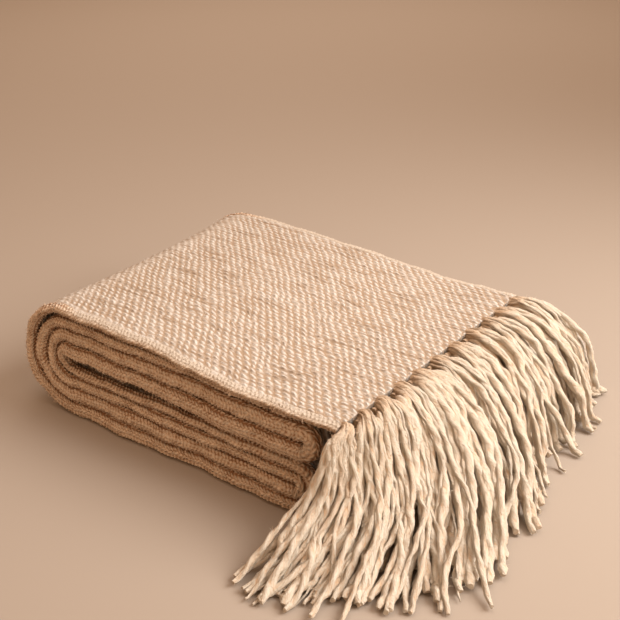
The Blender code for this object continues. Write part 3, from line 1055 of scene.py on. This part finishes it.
def edge_band(name, near, step, hairs, tree, material):
    """The rounded stitched edge of every layer on one side, with painted light on the top of the
    top layer's roll and painted shade in the grooves between the layers.
    """
    along = np.linspace(0.0, CLOTH_LENGTH, int(CLOTH_LENGTH / step))
    inset, level = edge_profile(step)
    across = across_place(along[:, None], inset[None, :], near)
    fade = in_rows(smooth_share(from_rim(len(inset), step), 0.0, EDGE_RIM), len(along))
    # Painted light on the top of the top layer's roll, where the light falls
    above = smooth_share(along, TOP_LENGTH + PALE_END[0], TOP_LENGTH + PALE_END[1])[:, None]
    lit_roll = above * smooth_share(level, *PALE_LEVELS)[None, :]
    # Painted shade in the grooves where the layers' rolls meet, kept off the painted light
    groove_shade = in_rows(smooth_share(np.abs(level), *GROOVE_SHADE_LEVELS), len(along)) * (1.0 - lit_roll)
    return skin_of(
        name, along, across, in_rows(level, len(along)), 2.0 if near else 3.0, fade, lit_roll, groove_shade,
        2, near, tree, hair_density=hairs, material=material, **EDGE_RELIEF,
    )


# The fringe

YARN_SIDES = 10
YARN_PLIES = 2.0
YARN_TURNS = 24.0
YARN_POINTS = 56
YARN_HAIRS = 21000.0
HEADER_RADIUS = 0.0045
ROOT_GATHER = 0.60
ROOT_REACH = 0.022
EDGE_LAP = 0.004
ROOT_CROWN = 0.0035
TIP_SWAY = 0.0130
MIDDLE_SWAY = 0.0045
STRAY_SHELL = Shell(0.92, 0.970, 0.0010, 0.0100, (-0.50, -0.26, 0.26, 0.50))
STRAY_GROUPS = 5
WISP_SHELL = Shell(0.97, 0.990, -0.0014, 0.0135, (-0.30, 0.20))
WISP_SHARE = 0.6
# Painted shade along the whole of each yarn that lies under others
COVERED_SHADE = 0.4
UNDER_SHARE = 1.3
CORNER_SHELL = Shell(0.90, 0.960, 0.0006, 0.0060, (-0.86, -0.74, -0.62))
CORNER_HANG = Shell(0.86, 0.970, 0.0008, 0.0045, (-0.60, -0.52, -0.42))
CORNER_GATHER = 0.12
HEADER_INSET = 0.002
HEADER_OUT_SHARE = 0.6
HEADER_SINK = 0.0035
HEADER_TONE = 0.2
PLY_DEPTH = 0.27
FINENESS = (0.72, 1.00)
FINE_NUMBERS = (1.5, 6.0)

# A yarn's root: how far a group's crown falls to its sides, how it laps onto the cloth, its crest,
# where its painted root shade fades, and how thin it starts
CROWN_SPREAD = 0.34
LAP_SINK = 0.003
CREST_OUT = 0.0005
CREST_RISE = 0.0016
ROOT_FADE = (0.004, 0.030)
START_REACH = 0.020
START_SHARES = (0.70, 0.30)

# How far the yarns of a group differ, and how each one strays and swells along its length
FREE_REACH = (0.015, 0.09)
SWAY_POWER = 1.6
TIP_SHARES = (0.64, 0.36)
FLARE_REACH = (0.4, 0.9)
FLOOR_CLEAR = 1.15
CHANCE_LIMIT = 1.8
CURVE_STEPS = 16
PLACE_STRAY = 0.03
REACHES = (0.83, 1.03)
THICKNESSES = (0.72, 1.28)
TIP_LENGTHS = (0.004, 0.012)
FLARES = (-0.05, 0.15)
STRAY_SIZES = (0.0028, 0.0031, 0.0014)
STRAY_PITCH = 0.045
KINK_PITCH = 0.010
KINK_SHARE = 0.24
SLOW_SWELL = Wander(0.030, 0.10)
QUICK_SWELL = Wander(0.008, 0.07)
FINE_SHELLS = [
    Shell(1.00, 1.000, 0.0004, 0.0108, (-0.42, -0.05, 0.30)),
    Shell(0.96, 0.990, 0.0014, 0.0072, (-0.26, 0.10, 0.40)),
]


def along_table(column, place):
    """A column of the groups' table read at any place along the fringed edge."""
    centres = [(row.edge_from + row.edge_to) / 2 for row in GROUPS]
    values = [getattr(row, column) for row in GROUPS]
    i = 0
    while i < len(GROUPS) - 2 and place > centres[i + 1]:
        i += 1
    share = (place - centres[i]) / (centres[i + 1] - centres[i])
    if not 0.0 <= share <= 1.0:
        return mix(values[i], values[i + 1], share)
    before = values[max(i - 1, 0)]
    after = values[min(i + 2, len(values) - 1)]
    rise_in = (values[i + 1] - before) / 2 if i > 0 else values[1] - values[0]
    rise_out = (after - values[i]) / 2 if i < len(values) - 2 else values[-1] - values[-2]
    s2, s3 = share * share, share * share * share
    return (
        values[i] * (2 * s3 - 3 * s2 + 1)
        + rise_in * (s3 - 2 * s2 + share)
        + values[i + 1] * (3 * s2 - 2 * s3)
        + rise_out * (s3 - s2)
    )


def plan_point(root, turn, tip, reach):
    """A point of the smooth turn from the root to the tip, seen from above."""
    stay = 1.0 - reach
    return root * stay * stay + turn * 2 * reach * stay + tip * reach * reach


def strand_route(place, shell, reach_scale):
    """The middle line of one strand that leaves the fringed edge at this place."""
    root_z = MIDDLES_RIGHT[0] * float(height_factor(FRINGED_EDGE_X, place))
    root = np.array([ROOT_X, place])
    tip = np.array([along_table("tip_x", place), along_table("tip_y", place)])
    tip = root + (tip - root) * reach_scale
    lead = along_table("lead", place)
    length = np.linalg.norm(tip - root)
    turn = root + np.array([lead * length, 0.0]) + (tip - root) * (0.5 - lead)
    facing = plan_point(root, turn, tip, PUSH_READ) - root
    facing /= np.linalg.norm(facing)
    droop = min(1.0, max(0.0, along_table("droop", place)))
    rest = STRAND_RADIUS
    top = root_z - shell.drop_below
    route = []
    for course in COURSES:
        reach = shell.reach * mix(course.arch_reach, course.flare_reach, droop)
        height = mix(course.arch_height, course.flare_height, droop)
        flat = plan_point(root, turn, tip, reach) + facing * shell.push * course.push * droop
        lift = rest + (top - rest) * height * mix(shell.rise, 1.0, height)
        route.append([flat[0] - ORIGIN_X, flat[1] - ORIGIN_Y, max(rest, lift)])
    outward = np.array(route[-1][:2]) - np.array(route[-2][:2])
    outward /= np.linalg.norm(outward)
    foot = np.array(route[-1][:2]) + outward * FOOT_LENGTH
    route.append([foot[0], foot[1], rest])
    return np.array(route)


def rounded_route(route, count):
    """A smooth curve through a route's points, with even steps along it."""
    ends = np.vstack([2 * route[0] - route[1], route, 2 * route[-1] - route[-2]])
    fine = []
    for a, b, c, d in zip(ends, ends[1:], ends[2:], ends[3:]):
        for t in np.linspace(0.0, 1.0, CURVE_STEPS, endpoint=False):
            bend = (2 * a - 5 * b + 4 * c - d) * t * t
            fine.append(0.5 * (2 * b + (c - a) * t + bend + (3 * b - a - 3 * c + d) * t**3))
    fine.append(route[-1])
    fine = np.array(fine)
    at = np.concatenate([[0.0], np.cumsum(np.linalg.norm(np.diff(fine, axis=0), axis=1))])
    even = np.linspace(0.0, at[-1], count)
    return np.stack([np.interp(even, at, fine[:, i]) for i in range(3)], axis=-1), even


def uneven_line(at, pitch):
    """Smooth chance values along a strand, with one new value for each pitch."""
    knots = np.arange(-pitch, at[-1] + 2 * pitch, pitch)
    values = random_shape.normal(0.0, 1.0, len(knots)).clip(-CHANCE_LIMIT, CHANCE_LIMIT)
    place = (at - knots[0]) / pitch
    whole = np.floor(place).astype(int).clip(0, len(knots) - 2)
    share = smooth_share(place - whole, 0.0, 1.0)
    return mix(values[whole], values[whole + 1], share)


def header_course(group):
    """A yarn that lies along the cloth's edge under a group's root, in the painted shade colour of
    the roots.
    """
    ends = (group.edge_from + HEADER_INSET, group.edge_to - HEADER_INSET)
    places = np.linspace(*ends, YARN_POINTS // 4)
    surface = MIDDLES_RIGHT[0] * height_factor(FRINGED_EDGE_X, places)
    x = np.full(len(places), FRINGED_EDGE_X + HEADER_RADIUS * HEADER_OUT_SHARE - ORIGIN_X)
    points = np.stack([x, places - ORIGIN_Y, surface - HEADER_SINK], axis=-1)
    at = places - places[0]
    return points, at, np.full(len(at), HEADER_RADIUS), HEADER_TONE, np.ones(len(at))


def strand_course(group, shell, across, fineness):
    """One strand's points, distances along it, radii and tone, with its own small ways."""
    width = group.edge_to - group.edge_from
    middle = (group.edge_from + group.edge_to) / 2
    across += random_shape.normal(0.0, PLACE_STRAY)
    place = middle + across * width
    route = strand_route(place, shell, random_shape.uniform(*REACHES))
    surface = MIDDLES_RIGHT[0] + LAYERS[0].thick_right / 2
    surface *= float(height_factor(FRINGED_EDGE_X, place))
    crown = ROOT_CROWN * (across / CROWN_SPREAD) ** 2
    root_z = surface - shell.drop_below - crown
    lap = [FRINGED_EDGE_X - EDGE_LAP - ORIGIN_X, route[0][1], min(root_z, surface - LAP_SINK)]
    crest = [ROOT_X + CREST_OUT - ORIGIN_X, route[0][1], root_z + CREST_RISE]
    route = np.vstack([lap, crest, route[1:]])
    points, at = rounded_route(route, YARN_POINTS)
    gather = CORNER_GATHER if shell is CORNER_HANG else ROOT_GATHER
    points[:, 1] += (middle - place) * (gather * np.exp(-((at / ROOT_REACH) ** 2)))
    free = smooth_share(at, *FREE_REACH)
    heading = np.gradient(points[:, :2], axis=0)
    heading /= np.linalg.norm(heading, axis=1)[:, None] + 1e-9
    sway = random_shape.normal(0.0, TIP_SWAY) * (at / at[-1]) ** SWAY_POWER
    sway += random_shape.normal(0.0, MIDDLE_SWAY) * np.sin(math.pi * at / at[-1]) ** 2
    points[:, 0] -= heading[:, 1] * sway
    points[:, 1] += heading[:, 0] * sway
    for axis, size in enumerate(STRAY_SIZES):
        points[:, axis] += size * free * uneven_line(at, STRAY_PITCH)
        points[:, axis] += KINK_SHARE * size * uneven_line(at, KINK_PITCH)
    radius = STRAND_RADIUS * random_shape.uniform(*THICKNESSES) * fineness
    if shell is WISP_SHELL:
        radius *= WISP_SHARE
    if shell.drop_below > SHELLS[0].drop_below:
        radius *= UNDER_SHARE
    swell = 1.0 + SLOW_SWELL.share * uneven_line(at, SLOW_SWELL.scale)
    swell += QUICK_SWELL.share * uneven_line(at, QUICK_SWELL.scale)
    to_tip = (at[-1] - at) / random_shape.uniform(*TIP_LENGTHS)
    taper = TIP_SHARES[0] + TIP_SHARES[1] * np.sqrt(np.clip(to_tip, 0.0, 1.0))
    taper *= 1.0 + random_shape.uniform(*FLARES) * smooth_share(at / at[-1], *FLARE_REACH)
    start = START_SHARES[0] + START_SHARES[1] * smooth_share(at, 0.0, START_REACH)
    radii = radius * swell * taper * start
    points[:, 2] = np.maximum(points[:, 2], radii * FLOOR_CLEAR)
    # Painted shade: full at the gathered root, fading along the yarn, and kept along all of a yarn
    # that lies under others
    covered = COVERED_SHADE if shell.drop_below > SHELLS[1].drop_below else 0.0
    root = np.maximum(1.0 - smooth_share(at, *ROOT_FADE), covered)
    return points, at, radii, random_shape.uniform(0.0, 1.0), root


def fringe_group(number, group, tree, material):
    """All the yarns of one gathered group, spun along their courses."""
    shells = SHELLS + [WISP_SHELL]
    if number <= STRAY_GROUPS:
        shells = shells + [STRAY_SHELL] + FINE_SHELLS
    if number == 1:
        shells = shells + [CORNER_SHELL, CORNER_HANG]
    fineness = mix(*FINENESS, smooth_share(number, *FINE_NUMBERS))
    spots = [(shell, across) for shell in shells for across in shell.across]
    courses = [strand_course(group, shell, across, fineness) for shell, across in spots]
    points, edges = [], []
    columns = {"yarn_radius": [], "yarn_along": [], "yarn_tone": [], "yarn_root": []}
    for course, at, radius, tone, root in courses + [header_course(group)]:
        edges += [(len(points) + i, len(points) + i + 1) for i in range(len(course) - 1)]
        points += course.tolist()
        values = (radius, at + tone, np.full(len(course), tone), root)
        for column, part in zip(columns.values(), values):
            column.extend(part)
    name = f"fringe_yarns_{number:02d}"
    mesh = bpy.data.meshes.new(name)
    mesh.from_pydata(points, edges, [])
    write_attributes(mesh, columns)
    return grown(
        placed(name, mesh), tree, sides=YARN_SIDES, plies=YARN_PLIES, turns=YARN_TURNS,
        ply_depth=PLY_DEPTH, hair_density=YARN_HAIRS, material=material,
    )


# The setting


FLOOR_REACH = 60.0
FLOOR = {
    "Base Color": colour(0.38, 0.325, 0.275), "Roughness": 0.9, "Specular IOR Level": 0.1,
}
AIR = {"Color": colour(1.0, 0.62, 0.375), "Strength": 0.66}
Lamp = namedtuple("Lamp", "place target size power tint spread")
LAMPS = {
    "key_light": Lamp(
        (1.13, 0.48, 1.00), (0.14, -0.05, 0.04), 1.2, 11.8, (1.0, 0.95, 0.90), 100.0
    ),
    "side_light": Lamp(
        (1.45, -0.40, 0.75), (0.22, -0.06, 0.04), 1.2, 1.4, (1.0, 0.80, 0.62), 90.0
    ),
    "back_light": Lamp((-1.3, 1.9, 2.0), (-1.3, 1.9, 0.0), 2.0, 13.0, (1.0, 0.88, 0.78), 120.0),
    "top_light": Lamp((-0.1, 0.1, 2.2), (0.05, 0.0, 0.05), 1.4, 7.2, (1.0, 0.92, 0.87), 150.0),
}


def floor_and_light():
    """A plain warm floor, and a key from the right and behind, with fill from three sides."""
    mesh = bpy.data.meshes.new("studio_floor")
    signs = ((-1, -1), (1, -1), (1, 1), (-1, 1))
    corners = [(x * FLOOR_REACH, y * FLOOR_REACH, 0.0) for x, y in signs]
    mesh.from_pydata(corners, [], [(0, 1, 2, 3)])
    floor = placed("studio_floor", mesh)
    material, _, _ = principled("warm_floor", FLOOR)
    mesh.materials.append(material)

    world = bpy.data.worlds.new("studio_air")
    world.use_nodes = True
    Board(world.node_tree).fill(world.node_tree.nodes["Background"], AIR)
    bpy.context.scene.world = world
    bpy.context.scene.view_settings.view_transform = "Standard"
    for name, lamp in LAMPS.items():
        area_light(name, lamp)


def aimed(direction):
    """The turn that points a lamp or a camera this way."""
    return direction.to_track_quat("-Z", "Y").to_euler()


def area_light(name, lamp):
    data = bpy.data.lights.new(name, "AREA")
    data.shape = "DISK"
    data.size = lamp.size
    data.energy = lamp.power
    data.color = lamp.tint
    data.spread = math.radians(lamp.spread)
    light = placed(name, data)
    light.location = lamp.place
    light.rotation_euler = aimed(Vector(lamp.target) - Vector(lamp.place))


def photo_camera():
    lens = bpy.data.cameras.new("photo_camera")
    lens.sensor_width = SENSOR_MM
    lens.lens = LENS_MM
    lens.clip_start = 0.01
    camera = placed("photo_camera", lens)
    camera.location = EYE
    camera.rotation_euler = aimed(LOOK)
    bpy.context.scene.camera = camera


# Each wool's pits, body, tips and second colour. The pit colour paints shade into pits and grooves,
# the tip colour paints a highlight on the tops. The face's second colour is its heather fleck. The
# edges' colours are a warmer, more saturated copy of the face's that paints their warm shade, and
# their second colour is painted light for the top of the top layer's roll. The fringe's pit colour
# paints warm shade in its ply grooves, and its second colour paints shade at the gathered roots and
# on covered yarns.
FACE_COLOURS = ((0.35, 0.25, 0.17), (0.555, 0.51, 0.46), (0.60, 0.575, 0.54), (0.29, 0.21, 0.145))
EDGE_COLOURS = ((0.33, 0.17, 0.085), (0.77, 0.59, 0.435), (0.86, 0.73, 0.59), (0.50, 0.44, 0.37))
FRINGE_COLOURS = ((0.74, 0.51, 0.32), (0.69, 0.58, 0.455), (0.72, 0.665, 0.57), (0.58, 0.37, 0.21))


def main():
    photo_camera()
    floor_and_light()
    wool = wool_group()
    face_wool = face_material("woven_face_wool", wool, FACE_COLOURS, FACE_FIBRE, True)
    fold_wool = face_material("woven_fold_wool", wool, FACE_COLOURS, FOLD_FIBRE, False)
    edge_wool = edge_material("woven_edge_wool", wool, EDGE_COLOURS, EDGE_FIBRE)
    fringe_wool = yarn_material("fringe_wool", wool, FRINGE_COLOURS, YARN_FIBRE)

    folds = folded_cloth(fold_wool)
    face_weave = weave_tree()
    felt = felt_tree()
    face = top_face(face_weave, face_wool)
    near_band = edge_band("throw_near_edges", True, EDGE_STEP, NEAR_HAIRS, felt, edge_wool)
    far_band = edge_band("throw_far_edges", False, FAR_EDGE_STEP, FAR_HAIRS, felt, edge_wool)
    for piece in (folds, face, near_band, far_band):
        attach(piece, "root")
        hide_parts("throw_cloth")

    yarn = yarn_tree()
    for number, group in enumerate(GROUPS, start=1):
        yarns = fringe_group(number, group, yarn, fringe_wool)
        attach(yarns, "root")
        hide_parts(f"fringe_group_{number:02d}")


main()
